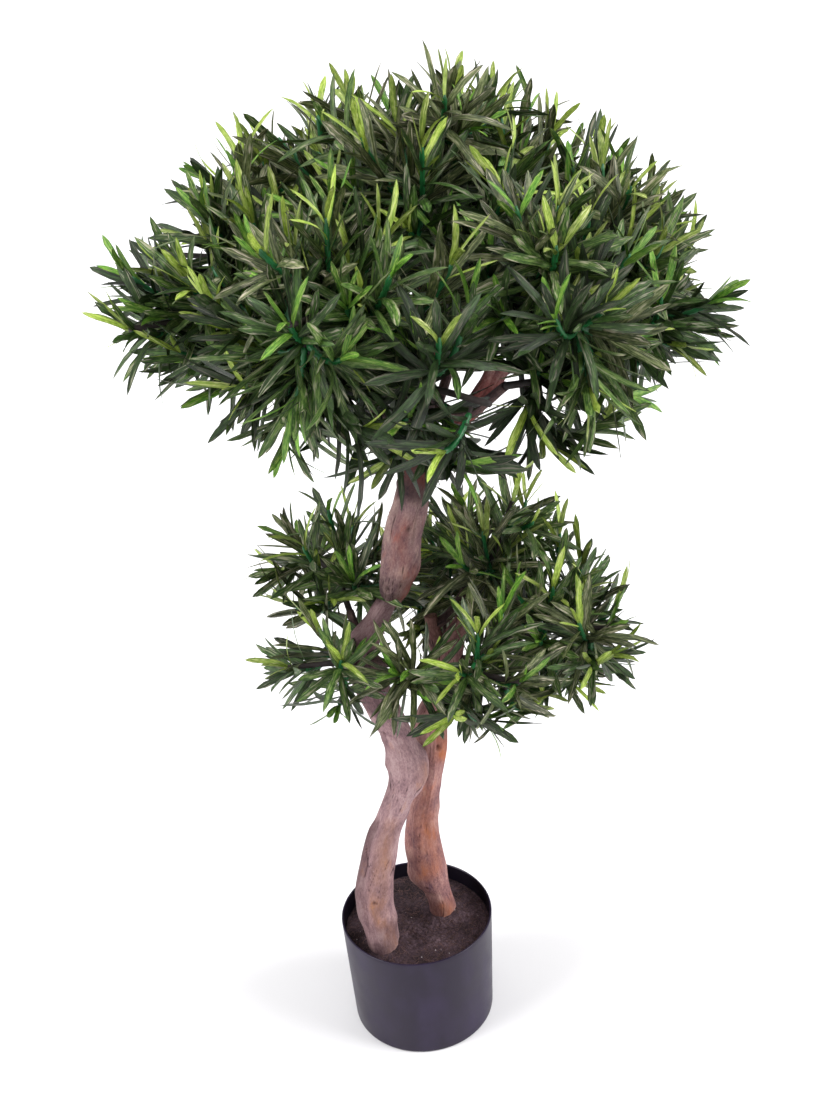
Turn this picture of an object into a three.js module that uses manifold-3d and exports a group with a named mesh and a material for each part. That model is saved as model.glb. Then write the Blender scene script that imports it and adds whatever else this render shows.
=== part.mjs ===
// A potted ornamental podocarpus with two crossing stems, a low crown and a broad top crown.
// Millimetres, +Z up, the origin at the centre of the pot's flat underside. -Y is the front.
import * as THREE from "three";
import { mergeVertices } from "three/addons/utils/BufferGeometryUtils.js";
import Module from "manifold-3d";

const wasm = await Module();
wasm.setup();

// ---- driving dimensions ----
const pot = { rimRadius: 85, footRadius: 80, height: 135, wall: 2.2, floor: 3, bevel: 3, lip: 0.6 };
const potSides = 40;
const soilDrop = 17; // how far the soil lies under the pot's rim
const soilLevel = pot.height - soilDrop;
const seat = 0.3; // clearance between pieces that touch
const leafClear = 6; // clearance of the middle lines of twigs and leaves from the limbs
const sliver = 0.02; // edges shorter than this are closed up in the finished solids

// Boughs: radii, how far out in a mass's reach they end, their least length past the bark, their sag.
const boughShape = { foot: 6, tip: 4, footShare: 0.8, enter: 0.52, least: 16, sag: 0.16 };
const boughMesh = { sides: 6, rings: 4 };
const twig = { foot: 3.7, tip: 2.8, sides: 3 };
const leaf = { length: 86, width: 22, thickness: 2, widestAt: 0.42, arch: 5, rootSink: 1.5 };

// How a mass's sprays fan out: the span of cosines about its outward axis, the turn from mass to mass,
// where its stem bends, how far along it twigs start, and the upward lift. Room is in leaf lengths.
const fan = { span: 1.5, turnEach: 53, bend: 0.2, startSpan: 0.7, lift: 0.3, room: 0.5 };
// Leaves on a spray: the turn from each to the next and how far they open, in degrees, the length of the
// leafy stretch in leaf lengths, and the shares of it at the first and last leaf.
const whorl = { turn: 137.5, openBase: 82, openTip: 30, stretch: 0.8, first: 0.1, last: 0.96 };
// Lengths and turns tried for each leaf until one fits, and the spread of full lengths.
const leafScales = [1, 0.86, 0.72, 0.6];
const leafShifts = [0, 30, -30, 60];
const lengthSpread = [0.92, 1.08];

const up = new THREE.Vector3(0, 0, 1);
const rad = THREE.MathUtils.degToRad;
const lerp = THREE.MathUtils.lerp;
const point = (x, y, z) => new THREE.Vector3(x, y, z);

// ---- materials ----
const finish = (color, roughness) => new THREE.MeshStandardMaterial({ color, roughness, metalness: 0 });
const plastic = finish(0x211d26, 0.45);
const soilCover = finish(0x3a2a22, 0.95);
const bark = finish(0x86695c, 0.85);
const foliage = finish(0x35501f, 0.55);

// ---- joining and cutting ----
function solidOf(geometry) {
  const bare = geometry.clone();
  bare.deleteAttribute("normal");
  bare.deleteAttribute("uv");
  const merged = mergeVertices(bare, 1e-3);
  return new wasm.Manifold(
    new wasm.Mesh({
      numProp: 3,
      vertProperties: new Float32Array(merged.attributes.position.array),
      triVerts: new Uint32Array(merged.index.array),
    }),
  );
}

// The largest outer body of a solid: scraps are dropped, sealed hollows filled and slivers closed up.
function oneBody(solid) {
  const bodies = solid.decompose();
  return bodies.reduce((best, body) => (body.volume() > best.volume() ? body : best)).simplify(sliver);
}

function meshOf(name, solid, material) {
  const m = solid.getMesh();
  const geometry = new THREE.BufferGeometry();
  geometry.setAttribute("position", new THREE.BufferAttribute(new Float32Array(m.vertProperties), 3));
  geometry.setIndex(new THREE.BufferAttribute(new Uint32Array(m.triVerts), 1));
  geometry.computeVertexNormals();
  const mesh = new THREE.Mesh(geometry, material);
  mesh.name = name;
  return mesh;
}

// ---- limbs ----
// A limb is named by a few stations [x, y, z, radius]; a smooth curve runs through them.
class Limb {
  constructor(name, stations, { sides, rings, lumps = 0 }) {
    Object.assign(this, { name, sides, rings, lumps });
    const points = stations.map(([x, y, z]) => point(x, y, z));
    this.curve = new THREE.CatmullRomCurve3(points, false, "centripetal");
    this.radii = stations.map((s) => s[3]);
    this.samples = this.curve.getPoints(rings * 2);
  }

  // Radius at t along the curve's own parameter, eased between stations.
  radius(t) {
    const s = Math.min(Math.max(t, 0), 1) * (this.radii.length - 1);
    const i = Math.min(Math.floor(s), this.radii.length - 2);
    return lerp(this.radii[i], this.radii[i + 1], THREE.MathUtils.smoothstep(s - i, 0, 1));
  }

  // The closed surface, grown by extra all round and past both ends.
  solid(extra = 0) {
    const geometry = new THREE.CylinderGeometry(1, 1, 1, this.sides, this.rings);
    const frames = framesAlong(this.curve, this.rings);
    const place = geometry.attributes.position;
    for (let i = 0; i < place.count; i++) {
      const v = point(place.getX(i), place.getY(i), place.getZ(i));
      const ring = Math.round((v.y + 0.5) * this.rings);
      const { origin, side, cross, along } = frames[ring];
      const angle = Math.atan2(v.z, v.x);
      const lump = 1 + this.lumps * Math.sin(3 * angle + ring * 0.9);
      const reach = (this.radius(ring / this.rings) * lump + extra) * Math.hypot(v.x, v.z);
      const p = origin.clone().addScaledVector(side, Math.cos(angle) * reach);
      p.addScaledVector(cross, Math.sin(angle) * reach);
      if (ring === 0) p.addScaledVector(along, -extra);
      if (ring === this.rings) p.addScaledVector(along, extra);
      place.setXYZ(i, p.x, p.y, p.z);
    }
    return solidOf(geometry);
  }

  // Distance from the segment a-b to this limb's bark, from samples of both.
  clearance(a, b, steps = 8) {
    let least = Infinity;
    const p = new THREE.Vector3();
    for (let i = 0; i <= steps; i++) {
      p.lerpVectors(a, b, i / steps);
      this.samples.forEach((q, k) => {
        const bark = this.radius(k / (this.samples.length - 1)) * (1 + this.lumps);
        least = Math.min(least, p.distanceTo(q) - bark);
      });
    }
    return least;
  }

  get tip() {
    return this.curve.getPoint(1);
  }

  get tipDirection() {
    return this.curve.getTangent(1);
  }
}

// Frames that turn as little as they can from ring to ring; side, along and cross make a right-handed set.
function framesAlong(curve, rings) {
  const frames = [];
  let side = Math.abs(curve.getTangent(0).x) < 0.8 ? point(1, 0, 0) : point(0, 1, 0);
  for (let i = 0; i <= rings; i++) {
    const along = curve.getTangent(i / rings);
    side = side.clone().addScaledVector(along, -side.dot(along)).normalize();
    const cross = new THREE.Vector3().crossVectors(side, along);
    frames.push({ origin: curve.getPoint(i / rings), side, cross, along });
  }
  return frames;
}

// ---- the stems and the upper trunk ----
const stemLeft = new Limb(
  "stem_left",
  [
    [-37, -33, 108, 21],
    [-43, -33, 188, 20],
    [-35, -31, 236, 18.5],
    [-19, -25, 283, 14.6],
    [-5, -20, 314, 15],
    [3, -17, 346, 20.6],
    [-2, -15, 382, 14.6],
    [-15, -15, 418, 16.5],
    [-29, -15, 462, 17],
    [-29, -15, 494, 15],
    [-12, -13, 524, 10.5],
    [5, -12, 548, 9.5],
  ],
  { sides: 11, rings: 20, lumps: 0.04 },
);
const stemRight = new Limb(
  "stem_right",
  [
    [31, 13, 106, 14.5],
    [27, 14, 142, 15],
    [17, 17, 180, 20.5],
    [14, 18, 222, 20],
    [17, 17, 262, 16.5],
    [25, 15, 298, 12.6],
    [33, 14, 344, 13.8],
    [39, 17, 388, 14.8],
    [53, 20, 428, 16.5],
    [59, 20, 464, 13.5],
    [74, 20, 497, 7.5],
  ],
  { sides: 11, rings: 18, lumps: 0.04 },
);
const trunkUpper = new Limb(
  "trunk_upper",
  [
    [2, -12, 538, 9.5],
    [9, -11, 558, 15.5],
    [14, -10, 578, 18.8],
    [19, -10, 602, 18.2],
    [27, -10, 636, 17],
    [37, -10, 672, 16],
    [43, -10, 698, 14.5],
  ],
  { sides: 11, rings: 10, lumps: 0.05 },
);
// A fork of the right stem. The upper trunk forks at its top into a leader and a right limb.
const stemFork = new Limb(
  "stem_right_fork",
  [
    [54, 20, 440, 10],
    [45, 21, 470, 8.5],
    [41, 24, 500, 6.5],
  ],
  { sides: 9, rings: 4 },
);
const rightLimb = new Limb(
  "trunk_right_limb",
  [
    [40, -10, 655, 11],
    [52, -10, 684, 10],
    [64, -9, 703, 9],
    [79, -6, 718, 8.5],
    [96, -3, 733, 8.8],
    [110, 0, 750, 10],
    [121, 0, 770, 11],
  ],
  { sides: 9, rings: 9 },
);
const leader = new Limb(
  "trunk_leader",
  [
    [41, -10, 690, 13],
    [47, -9, 730, 12],
    [51, -5, 776, 12],
    [54, 0, 826, 8.5],
    [55, 0, 866, 5.6],
  ],
  { sides: 9, rings: 8 },
);

// ---- the masses of foliage ----
// Upper crown: rings of masses round one axis, each with its radius, height, the masses' reach and the
// first one's angle. The crown leans: heights change by the slope for each millimetre along X and Y. Boughs
// leave the leader at a share of its length, a step farther up each time, and those near +X leave the end
// of the right limb.
const upperAxis = point(54, 0, 0);
const upperCore = point(55, 0, 800);
const slope = point(-0.04, 0.14, 0);
const topRing = { ring: "top", count: 1, radius: 0, height: 915, reach: 136, from: 0, sprays: 7 };
const shoulderRing = { ring: "shoulder", count: 6, radius: 158, height: 884, reach: 114, from: 0, sprays: 5 };
const skirtRing = { ring: "skirt", count: 9, radius: 190, height: 845, reach: 106, from: 30, sprays: 4 };
const upperRings = [
  { ...topRing, start: 1, step: 0 },
  { ...shoulderRing, start: 0.4, step: 0.06 },
  { ...skirtRing, start: 0.06, step: 0.04 },
];
const rightSide = { cosine: 0.85, start: 0.9, step: 0.01 }; // of a mass's angle; where its bough starts
// Masses that stand off their ring's even places, by x, y and z, and how much smaller their reach is.
const offRing = {
  shoulder_1: { by: [-8, 0, -14], less: 0 },
  shoulder_4: { by: [18, 0, -14], less: 0 },
  skirt_5: { by: [4, 0, 0], less: 0 },
  skirt_6: { by: [30, 0, -8], less: 8 },
  skirt_8: { by: [-34, 0, -18], less: 12 },
  skirt_9: { by: [2, 0, -20], less: 0 },
};
const onRing = { by: [0, 0, 0], less: 0 };
// Low crown: masses by their own places round the stems, and the share of its limb where each bough starts.
const lowCore = point(30, 0, 470);
const lowMasses = [
  { name: "low_left_back", at: [-54, 50, 546], reach: 90, limb: stemLeft, start: 0.82 },
  { name: "low_left_front", at: [-52, -64, 506], reach: 80, limb: stemLeft, start: 0.74 },
  { name: "low_middle", at: [112, 40, 556], reach: 92, limb: stemFork, start: 0.8 },
  { name: "low_right", at: [160, -20, 500], reach: 98, limb: stemRight, start: 0.86 },
  { name: "low_front", at: [76, -90, 498], reach: 84, limb: stemRight, start: 0.76 },
  { name: "low_centre", at: [17, -84, 496], reach: 64, limb: stemLeft, start: 0.82 },
  { name: "low_back", at: [62, 136, 484], reach: 96, limb: stemRight, start: 0.8 },
];
const leavesEach = { upper: 8, low: 8 }; // on one spray
const lowSprays = 5;
const flattenBelow = 0.78; // depth of a mass below its centre, as a share of its reach

function upperMass(ring, i) {
  const name = ring.count > 1 ? `${ring.ring}_${i + 1}` : ring.ring;
  const { by, less } = offRing[name] ?? onRing;
  const angle = rad(ring.from + (360 * i) / ring.count);
  const aside = point(Math.cos(angle) * ring.radius, Math.sin(angle) * ring.radius, ring.height);
  aside.z += aside.dot(slope);
  const onRight = ring.count > 1 && Math.cos(angle) > rightSide.cosine;
  const bearing = onRight ? { limb: rightLimb, ...rightSide } : { limb: leader, ...ring };
  return {
    name,
    centre: upperAxis.clone().add(aside).add(point(...by)),
    core: upperCore,
    limb: bearing.limb,
    start: bearing.start + bearing.step * i,
    reach: ring.reach - less,
    sprays: ring.sprays,
    leaves: leavesEach.upper,
  };
}

const masses = [
  ...upperRings.flatMap((ring) => Array.from({ length: ring.count }, (_, i) => upperMass(ring, i))),
  ...lowMasses.map((m) => ({
    ...m,
    centre: point(...m.at),
    core: lowCore,
    sprays: lowSprays,
    leaves: leavesEach.low,
  })),
];

// How far p lies inside the mass's own space: its ball, flattened below, less what is nearer to another's.
function depthInside(mass, p) {
  const fromCentre = p.clone().sub(mass.centre);
  if (fromCentre.z < 0) fromCentre.z /= flattenBelow;
  let depth = mass.reach - fromCentre.length();
  for (const other of masses) {
    if (other === mass) continue;
    const gap = other.centre.distanceTo(mass.centre);
    const own = p.distanceToSquared(mass.centre) - mass.reach ** 2;
    const theirs = p.distanceToSquared(other.centre) - other.reach ** 2;
    depth = Math.min(depth, (theirs - own) / (2 * gap) - seat);
  }
  return depth;
}

// ---- boughs ----
// One runs from its bearing limb to the inner side of each mass; the top mass sits on the leader itself.
function boughTo(mass) {
  if (mass.start === 1) return mass.limb;
  const from = mass.limb.curve.getPoint(mass.start);
  const distance = from.distanceTo(mass.centre);
  const least = mass.limb.radius(mass.start) + boughShape.least;
  const length = Math.max(distance - mass.reach * boughShape.enter, least);
  const tip = from.clone().lerp(mass.centre, length / distance);
  const middle = from.clone().lerp(tip, 0.5);
  middle.z -= length * boughShape.sag;
  const foot = Math.min(boughShape.foot, mass.limb.radius(mass.start) * boughShape.footShare);
  const stations = [
    [...from.toArray(), foot],
    [...middle.toArray(), (foot + boughShape.tip) / 2],
    [...tip.toArray(), boughShape.tip],
  ];
  return new Limb(`bough_${mass.name}`, stations, boughMesh);
}

for (const mass of masses) mass.bough = boughTo(mass);
const boughs = masses.map((mass) => mass.bough).filter((bough) => bough !== leader);
const limbs = [stemLeft, stemRight, trunkUpper, stemFork, leader, rightLimb, ...boughs];

// ---- leaves and twigs ----
// A leaf is a slim blade of six faces: its root, its tip, two edges and a raised midrib.
const leafFaces = [0, 3, 4, 0, 4, 2, 0, 2, 3, 1, 4, 3, 1, 2, 4, 1, 3, 2];

function leafCorners(root, direction, face, length) {
  const side = new THREE.Vector3().crossVectors(direction, face).normalize();
  const over = new THREE.Vector3().crossVectors(side, direction).normalize();
  const at = (along, across, raised) => {
    const corner = root.clone().addScaledVector(direction, along);
    return corner.addScaledVector(side, across).addScaledVector(over, raised);
  };
  const widest = leaf.widestAt * length;
  const half = (leaf.width / 2) * Math.sqrt(length / leaf.length);
  return [
    at(-leaf.rootSink, 0, 0),
    at(length, 0, 0),
    at(widest, -half, leaf.arch),
    at(widest, half, leaf.arch),
    at(widest, 0, leaf.arch + leaf.thickness),
  ];
}

function leafSolid(corners) {
  const geometry = new THREE.BufferGeometry().setFromPoints(corners);
  geometry.setIndex(leafFaces);
  return solidOf(geometry);
}

// Small repeatable random numbers.
function randomFrom(seed) {
  let state = seed;
  return () => {
    state = (state + 0x6d2b79f5) | 0;
    let t = Math.imul(state ^ (state >>> 15), 1 | state);
    t = (t + Math.imul(t ^ (t >>> 7), 61 | t)) ^ t;
    return ((t ^ (t >>> 14)) >>> 0) / 4294967296;
  };
}

const clearOfLimbs = (a, b, own) => limbs.every((l) => l === own || l.clearance(a, b) > leafClear);

// A mass: a stem from its bough's tip to its outermost spray, twigs that leave the stem one after
// another, the outer ones from farther along it, and leaves in whorls on each.
function growMass(mass, index) {
  const random = randomFrom(100 + index);
  const tips = fanOut(mass, index).map((spread) => placeTip(mass, spread));
  const stem = twigThrough([mass.bough.tip, mass.centre.clone().lerp(mass.bough.tip, fan.bend), tips[0]]);
  const sprays = tips.map((tip, i) => {
    const start = stem.curve.getPoint(fan.startSpan * (i ? 1 - i / mass.sprays : 1));
    return { start, tip, limb: i ? twigThrough([start, tip]) : stem };
  });
  const kept = sprays.filter(({ start, tip }) => clearOfLimbs(start, tip, mass.bough));
  const twigs = kept.map(({ limb }) => limb.solid());
  let body = twigs.reduce((joined, shoot) => joined.add(shoot));
  kept.forEach((spray, i) => {
    let blades = body.subtract(twigs[i]);
    for (const blade of leavesOn(mass, spray, i, random, () => blades)) {
      blades = blades.add(blade);
      body = body.add(blade);
    }
  });
  return oneBody(body.subtract(mass.bough.solid(seat)));
}

// The leaves of one spray, first to last; blades() gives what each has to keep clear of.
function* leavesOn(mass, { start, tip }, i, random, blades) {
  const axis = tip.clone().sub(start).normalize();
  const base = tip.clone().addScaledVector(axis, -leaf.length * whorl.stretch);
  for (let k = 0; k < mass.leaves; k++) {
    const share = k / (mass.leaves - 1);
    const open = rad(lerp(whorl.openBase, whorl.openTip, share));
    const root = base.clone().lerp(tip, lerp(whorl.first, whorl.last, share));
    const length = leaf.length * lerp(...lengthSpread, random());
    const blade = fitLeaf(mass, root, axis, open, rad((k + i) * whorl.turn), length, blades());
    if (blade) yield blade;
  }
}

// A three-sided twig through the points, tapering evenly.
function twigThrough(points) {
  const rings = points.length - 1;
  const stations = points.map((p, i) => [...p.toArray(), lerp(twig.foot, twig.tip, i / rings)]);
  return new Limb("twig", stations, { sides: twig.sides, rings });
}

// Directions spread evenly over the outer part of a ball, by a golden spiral about the outward axis.
function fanOut(mass, index) {
  const outward = mass.centre.clone().sub(mass.core).normalize();
  const toOutward = new THREE.Quaternion().setFromUnitVectors(up, outward);
  return Array.from({ length: mass.sprays }, (_, i) => {
    const cosine = 1 - ((i + 0.5) / mass.sprays) * fan.span;
    const sine = Math.sqrt(1 - cosine * cosine);
    const turn = rad(i * whorl.turn + index * fan.turnEach);
    return point(Math.cos(turn) * sine, Math.sin(turn) * sine, cosine).applyQuaternion(toOutward);
  });
}

// A spray's tip lies as far out as leaves room for its leaves, a little above its own direction.
function placeTip(mass, spread) {
  const way = spread.clone().addScaledVector(up, fan.lift).normalize();
  const tip = mass.centre.clone().addScaledVector(way, mass.reach);
  const room = leaf.length * fan.room;
  while (depthInside(mass, tip) < room && tip.distanceTo(mass.centre) > 10) tip.addScaledVector(way, -3);
  return tip;
}

// The axis tilted by an angle, towards a side given by a turn about it.
function openFrom(axis, open, turn) {
  const across = new THREE.Vector3().crossVectors(axis, Math.abs(axis.z) > 0.9 ? point(1, 0, 0) : up);
  const side = across.normalize().applyAxisAngle(axis, turn);
  return axis.clone().multiplyScalar(Math.cos(open)).addScaledVector(side, Math.sin(open));
}

// A leaf at the greatest length and nearest turn that keep it in its mass's space, off the limbs and
// clear of the blades round it; none where no such leaf fits.
function fitLeaf(mass, root, axis, open, turn, length, blades) {
  for (const scale of leafScales) {
    for (const shift of leafShifts) {
      const direction = openFrom(axis, open, turn + rad(shift));
      const corners = leafCorners(root, direction, axis, length * scale);
      const inside = corners.every((corner) => depthInside(mass, corner) > 0);
      if (!inside || !clearOfLimbs(root, corners[1]) || !clearOfLimbs(corners[2], corners[3])) continue;
      const blade = leafSolid(corners);
      if (blade.intersect(blades).isEmpty()) return blade;
    }
  }
  return null;
}

// ---- the pot and its filling ----
function turned(profile) {
  const outline = profile.map(([r, z]) => new THREE.Vector2(r, z));
  return new THREE.LatheGeometry([...outline, outline[0].clone()], potSides).rotateX(Math.PI / 2);
}

const innerRadius = (z) => lerp(pot.footRadius, pot.rimRadius, z / pot.height) - pot.wall;

function potGeometry() {
  return turned([
    [0, 0],
    [pot.footRadius - pot.bevel, 0],
    [pot.footRadius, pot.bevel],
    [pot.rimRadius, pot.height - pot.lip],
    [pot.rimRadius - pot.lip, pot.height],
    [pot.rimRadius - pot.wall, pot.height],
    [innerRadius(pot.floor), pot.floor],
    [0, pot.floor],
  ]);
}

function fillingGeometry() {
  const foot = pot.floor + seat;
  return turned([
    [0, foot],
    [innerRadius(foot) - seat, foot],
    [innerRadius(soilLevel) - seat, soilLevel],
    [0, soilLevel],
  ]);
}

// ---- assembly ----
const tree = new THREE.Group();
tree.add(meshOf("pot", solidOf(potGeometry()), plastic));
tree.add(meshOf("soil", solidOf(fillingGeometry()), soilCover));

// Each limb is cut clear of those made before it; the two stems are also cut flat just above the soil.
const below = { width: 400, depth: 200 };
const underground = new THREE.BoxGeometry(below.width, below.width, below.depth);
underground.translate(0, 0, soilLevel + seat - below.depth / 2);
const cutters = [solidOf(underground)];
for (const limb of limbs) {
  const solid = cutters.reduce((left, cutter) => left.subtract(cutter), limb.solid());
  tree.add(meshOf(limb.name, oneBody(solid), bark));
  cutters.push(limb.solid(seat));
}

masses.forEach((mass, index) => {
  tree.add(meshOf(`foliage_${mass.name}`, growMass(mass, index), foliage));
});

export default tree;
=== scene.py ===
# A potted ornamental podocarpus: two crossing wood stems, a low crown and a broad top crown of strap leaves.
# Tables are in millimetres and meshes in metres. +Z is up, -Y the front, the origin under the pot's middle.
import functools
import itertools

import bpy
import numpy as np
from mathutils import Matrix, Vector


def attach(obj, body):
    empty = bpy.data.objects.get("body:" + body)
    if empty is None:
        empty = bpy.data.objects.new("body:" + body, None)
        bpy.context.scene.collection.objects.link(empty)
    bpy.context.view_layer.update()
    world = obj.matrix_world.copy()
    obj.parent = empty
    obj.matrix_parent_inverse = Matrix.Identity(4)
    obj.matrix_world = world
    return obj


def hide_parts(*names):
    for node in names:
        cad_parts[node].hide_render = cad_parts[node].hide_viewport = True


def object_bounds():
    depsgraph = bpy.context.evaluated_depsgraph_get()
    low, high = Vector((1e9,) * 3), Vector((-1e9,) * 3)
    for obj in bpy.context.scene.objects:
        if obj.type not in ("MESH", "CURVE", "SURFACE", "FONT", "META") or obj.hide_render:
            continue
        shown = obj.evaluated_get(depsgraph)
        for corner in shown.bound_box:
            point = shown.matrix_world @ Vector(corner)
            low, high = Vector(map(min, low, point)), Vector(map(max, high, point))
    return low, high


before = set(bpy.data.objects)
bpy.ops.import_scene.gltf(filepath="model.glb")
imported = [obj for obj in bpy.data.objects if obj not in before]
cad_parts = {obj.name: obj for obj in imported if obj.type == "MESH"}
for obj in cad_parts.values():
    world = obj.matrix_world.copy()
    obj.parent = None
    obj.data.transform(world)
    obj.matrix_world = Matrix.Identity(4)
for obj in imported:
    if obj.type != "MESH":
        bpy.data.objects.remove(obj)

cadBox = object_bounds()
mm = 0.001
fullTurn = 2 * np.pi
upward = np.array([0.0, 0.0, 1.0])
seeded = np.random.default_rng
print("frame loaded:", len(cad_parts), "solids")


def linear(code):
    # sRGB hex to linear: c / 12.92 for dark values, else ((c + 0.055) / 1.055) to the power 2.4.
    c = np.array([int(code[i:i + 2], 16) for i in (1, 3, 5)]) / 255
    return (*np.where(c < 0.04045, c / 12.92, ((c + 0.055) / 1.055) ** 2.4), 1.0)


def wire(node, inputs):
    # Each input takes a plain value, an output, or a node, which stands for its first output.
    for key, value in inputs.items():
        if isinstance(value, bpy.types.Node):
            value = value.outputs[0]
        if isinstance(value, bpy.types.NodeSocket):
            node.id_data.links.new(value, node.inputs[key])
        else:
            node.inputs[key].default_value = value


def addNode(tree, kind, inputs=None, stops=(), ends=(), **settings):
    # One node: settings go on the node, inputs are set or linked, stops are a colour ramp's, and ends are
    # where a Map Range starts and stops, first for its values and then for its results.
    made = tree.nodes.new("ShaderNode" + kind)
    for key, value in settings.items():
        setattr(made, key, value)
    wire(made, {**(inputs or {}), **dict(enumerate(ends, 1))})
    if stops:
        ramp = made.color_ramp.elements
        while len(ramp) < len(stops):
            ramp.new(0.5)
        for element, (place, code) in zip(ramp, stops):
            element.position, element.color = place, linear(code)
    return made


def newMaterial(name, roughness, specular, **more):
    # A material with one Principled shader, its constants set on their own sockets, and what adds its nodes.
    material = bpy.data.materials.new(name)
    material.use_nodes = True
    shader = material.node_tree.nodes["Principled BSDF"]
    wire(shader, {"Roughness": roughness, "Specular IOR Level": specular, **more})
    return material, functools.partial(addNode, material.node_tree), shader


def norm(v):
    # The length of each vector.
    return np.linalg.norm(v, axis=-1)


def unit(v):
    # Each vector over its own length.
    return v / np.maximum(norm(v), 1e-9)[..., None]


def around(count):
    # Angles at even steps round a full turn.
    return np.arange(count) / count * fullTurn


def lerp(a, b, t):
    # From a at t = 0 evenly to b at t = 1.
    return a + (b - a) * t


def smooth(low, high, x):
    # 0 below low, 1 above high, and 3 t^2 - 2 t^3 between.
    t = np.clip((x - low) / (high - low), 0, 1)
    return t * t * (3 - 2 * t)


def sines(a, b, perA, perB, phase):
    # Sum over the waves of sin(a perA + b perB + phase), divided by sqrt(waves / 2).
    waves = np.sin(a[..., None] * perA + b[..., None] * perB + phase)
    return waves.sum(-1) / np.sqrt(len(phase) / 2)


def ripples(angle, along, count, turns, pitch, seed):
    # Waves that run a whole number of turns round the limb, so the seam closes, each at its own pitch.
    draw = seeded(seed)
    whole = draw.integers(turns[0], turns[1] + 1, count) * draw.choice([-1, 1], count)
    rate = fullTurn / draw.uniform(*pitch, count)
    return sines(angle, along, whole, rate, draw.uniform(0, fullTurn, count))


def hills(x, y, count, pitch, seed):
    # Plane waves in all directions, each at its own pitch.
    draw = seeded(seed)
    way = draw.uniform(0, fullTurn, count)
    rate = fullTurn / draw.uniform(*pitch, count)
    return sines(x, y, np.cos(way) * rate, np.sin(way) * rate, draw.uniform(0, fullTurn, count))


def spline(stations, t):
    # Centripetal Catmull-Rom: on each span a cubic whose end slopes weigh the neighbours by the square
    # roots of their distances; the radius eases from station to station.
    p = np.vstack([2 * stations[0] - stations[1], stations, 2 * stations[-1] - stations[-2]])[:, :3]
    s = np.clip(np.asarray(t, float), 0, 1) * (len(stations) - 1)
    i = np.minimum(s.astype(int), len(stations) - 2)
    w = (s - i)[..., None]
    a, b, c, d = (p[i + k] for k in range(4))
    ab, bc, cd = (np.sqrt(norm(v))[..., None] for v in (b - a, c - b, d - c))
    slopeIn = ((b - a) / ab - (c - a) / (ab + bc) + (c - b) / bc) * bc
    slopeOut = ((c - b) / bc - (d - b) / (bc + cd) + (d - c) / cd) * bc
    square = 3 * (c - b) - 2 * slopeIn - slopeOut
    cube = 2 * (b - c) + slopeIn + slopeOut
    place = b + slopeIn * w + square * w ** 2 + cube * w ** 3
    tangent = unit(slopeIn + 2 * square * w + 3 * cube * w ** 2)
    radius = lerp(stations[i, 3], stations[i + 1, 3], smooth(0, 1, w[..., 0]))
    return place, tangent, radius


def tubes(paths, radii, sides):
    # Ring point = path + radius (side cos a + cross sin a), side and cross square to the path.
    along = unit(np.gradient(paths, axis=-2))
    chord = np.abs(paths[..., -1:, :] - paths[..., :1, :])
    side = unit(np.cross(np.eye(3)[chord.argmin(-1)], along))
    cross = np.cross(along, side)
    angle = around(sides)[:, None]
    rim = side[..., None, :] * np.cos(angle) + cross[..., None, :] * np.sin(angle)
    return paths[..., None, :] + rim * radii[..., None]


def joined(found):
    # Dictionaries of arrays under the same keys, end to end.
    return {key: np.concatenate([each[key] for each in found]) for key in found[0]}


def put(name, data, columns=()):
    # An object in the scene; the columns of its matrix are its side, its top, its back and its place.
    made = bpy.data.objects.new(name, data)
    bpy.context.scene.collection.objects.link(made)
    if columns:
        made.matrix_world = Matrix([*np.column_stack(columns).tolist(), [0, 0, 0, 1]])
    return made


def piece(name, shells, material, replaces=(), values=None, creases=()):
    # Closed tubes (..., rings, sides, 3) into one mesh, with quads between the rings and a cap at each end,
    # a number or a vector by name for each point, and columns that keep a crease.
    rings, sides = shells.shape[-3:-1]
    points = shells.reshape(-1, 3) * mm
    i, j = np.meshgrid(np.arange(rings - 1), np.arange(sides), indexing="ij")
    a, b = i * sides + j, i * sides + (j + 1) % sides
    quads = np.stack([a, b, b + sides, a + sides], -1).reshape(-1, 4)
    caps = np.stack([np.arange(sides)[::-1], (rings - 1) * sides + np.arange(sides)])
    first = np.arange(0, len(points), rings * sides)[:, None, None]
    corners = np.concatenate([(faces + first).ravel() for faces in (quads, caps)])
    sizes = np.repeat([4, sides], [len(quads) * len(first), len(caps) * len(first)])
    mesh = bpy.data.meshes.new(name)
    mesh.vertices.add(len(points))
    mesh.vertices.foreach_set("co", points.astype(np.float32).ravel())
    mesh.loops.add(len(corners))
    mesh.loops.foreach_set("vertex_index", corners.astype(np.int32))
    mesh.polygons.add(len(sizes))
    mesh.polygons.foreach_set("loop_start", (np.cumsum(sizes) - sizes).astype(np.int32))
    mesh.update(calc_edges=True)
    mesh.polygons.foreach_set("use_smooth", np.ones(len(sizes), bool))
    for key, value in (values or {}).items():
        kind, field = ("FLOAT", "value") if value.size == len(points) else ("FLOAT_VECTOR", "vector")
        mesh.attributes.new(key, kind, "POINT").data.foreach_set(field, value.astype(np.float32).ravel())
    if creases:
        ends = np.zeros(len(mesh.edges) * 2, np.int32)
        mesh.edges.foreach_get("vertices", ends)
        column = ends.reshape(-1, 2) % sides
        sharp = (column[:, 0] == column[:, 1]) & np.isin(column[:, 0], creases)
        mesh.attributes.new("sharp_edge", "BOOLEAN", "EDGE").data.foreach_set("value", sharp)
    mesh.materials.append(material)
    made = put(name, mesh)
    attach(made, "root")
    if replaces:
        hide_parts(*replaces)
    print(f"{name}: {len(sizes)} faces")


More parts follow.
